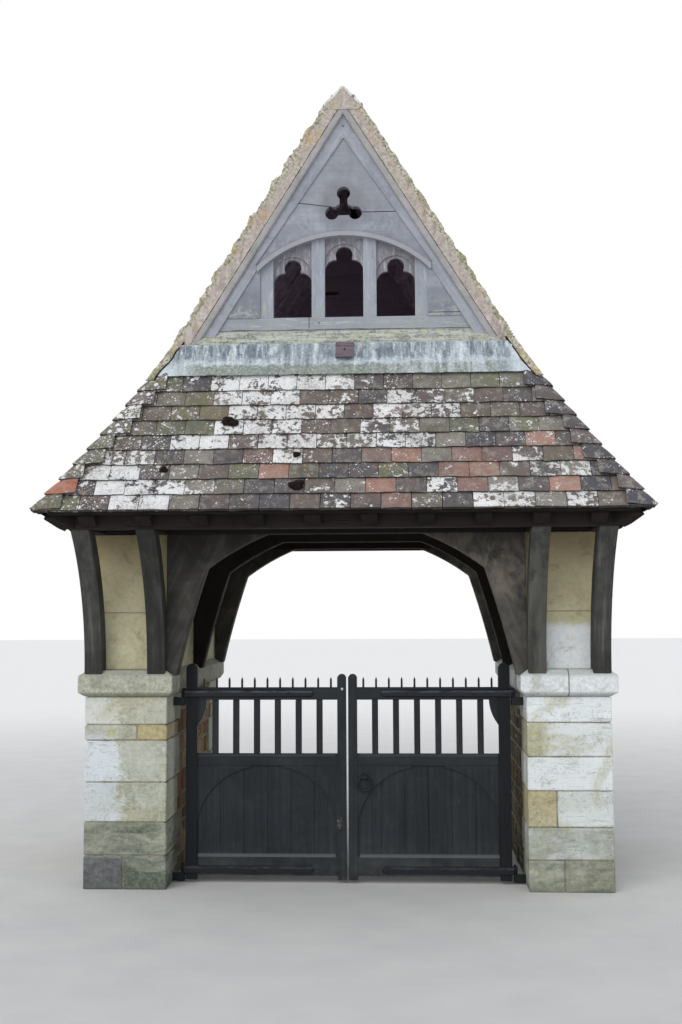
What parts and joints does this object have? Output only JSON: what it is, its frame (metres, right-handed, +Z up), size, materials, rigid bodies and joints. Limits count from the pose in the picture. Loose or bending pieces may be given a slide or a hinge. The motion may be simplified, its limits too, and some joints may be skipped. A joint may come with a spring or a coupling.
{
  "type": "lychgate",
  "caption": "Timber-roofed lychgate on two stone side walls, with curved brackets and arch frames, tiled hipped roof with pierced gablets, and a pair of hinged gates with a ring handle.",
  "frame": {"origin": "on the ground at the middle of the passage, half way between the front and rear faces of the side walls", "axes": "+X to the right as seen from the road, +Y through the passage towards the rear, +Z up"},
  "size_m": [3.378, 3.062, 4.7042],
  "materials": {
    "ashlar": "squared pale limestone blocks with weathered lime wash, lichen and green stain",
    "ochre_stone": "smooth ochre stone face, lime washed at the foot of one side",
    "dark_oak": "dark weathered oak with open grain",
    "silver_oak": "silver-grey weathered oak",
    "clay_tiles": "plain clay tiles, mixed brown, grey and orange, with lichen and moss",
    "lead": "dull streaked lead sheet",
    "gate_paint": "oak painted dark slate, worn at the edges",
    "black_iron": "black painted wrought iron"
  },
  "bodies": {
    "structure": {"apron_block": "dark_oak", "bargeboards_front": "silver_oak", "bargeboards_rear": "silver_oak", "brackets_front": "dark_oak", "brackets_rear": "dark_oak", "eaves_beam_front": "dark_oak", "eaves_beam_rear": "dark_oak", "gablet_backing_rear": "dark_oak", "gablet_panel_front": "silver_oak", "gablet_panel_rear": "silver_oak", "gablet_sill_front": "silver_oak", "gablet_sill_rear": "silver_oak", "gablet_tracery_front": "silver_oak", "gablet_tracery_rear": "silver_oak", "gate_pintles": "black_iron", "hip_bonnets": "clay_tiles", "hip_rafters": "dark_oak", "knees_front": "dark_oak", "knees_middle": "dark_oak", "knees_rear": "dark_oak", "lead_apron_front": "lead", "lead_apron_rear": "lead", "lower_wall_left": "ashlar", "lower_wall_right": "ashlar", "rafters_front": "dark_oak", "rafters_left": "dark_oak", "rafters_rear": "dark_oak", "rafters_right": "dark_oak", "ridge_beam": "dark_oak", "ridge_tiles": "clay_tiles", "roof_hip_front": "clay_tiles", "roof_hip_rear": "clay_tiles", "roof_slope_left": "clay_tiles", "roof_slope_right": "clay_tiles", "string_course_left": "ashlar", "string_course_right": "ashlar", "tie_beam_front": "dark_oak", "tie_beam_middle": "dark_oak", "tie_beam_rear": "dark_oak", "upper_wall_left": "ochre_stone", "upper_wall_right": "ochre_stone", "wall_plates_left": "dark_oak", "wall_plates_right": "dark_oak"},
    "left_leaf": {"gate_bars_left": "gate_paint", "gate_panel_left": "gate_paint", "gate_rails_left": "gate_paint", "gate_spikes_left": "black_iron", "gate_stiles_left": "gate_paint", "gate_straps_left": "black_iron"},
    "right_leaf": {"gate_bars_right": "gate_paint", "gate_panel_right": "gate_paint", "gate_rails_right": "gate_paint", "gate_spikes_right": "black_iron", "gate_stiles_right": "gate_paint", "gate_straps_right": "black_iron", "latch_rose": "black_iron"},
    "ring": {"latch_ring": "black_iron"}
  },
  "joints": [
    {"name": "left_gate_hinge", "type": "hinge", "parent": "structure", "child": "left_leaf", "pos_m": [-0.968, -0.781, 0], "axis": [0, 0, 1], "range_deg": [0, 90]},
    {"name": "right_gate_hinge", "type": "hinge", "parent": "structure", "child": "right_leaf", "pos_m": [0.968, -0.781, 0], "axis": [0, 0, -1], "range_deg": [0, 90]},
    {"name": "ring_turn", "type": "hinge", "parent": "right_leaf", "child": "ring", "pos_m": [0.1, -0.8, 0.616], "axis": [0, 1, 0], "range_deg": [-60, 60]}
  ]
}
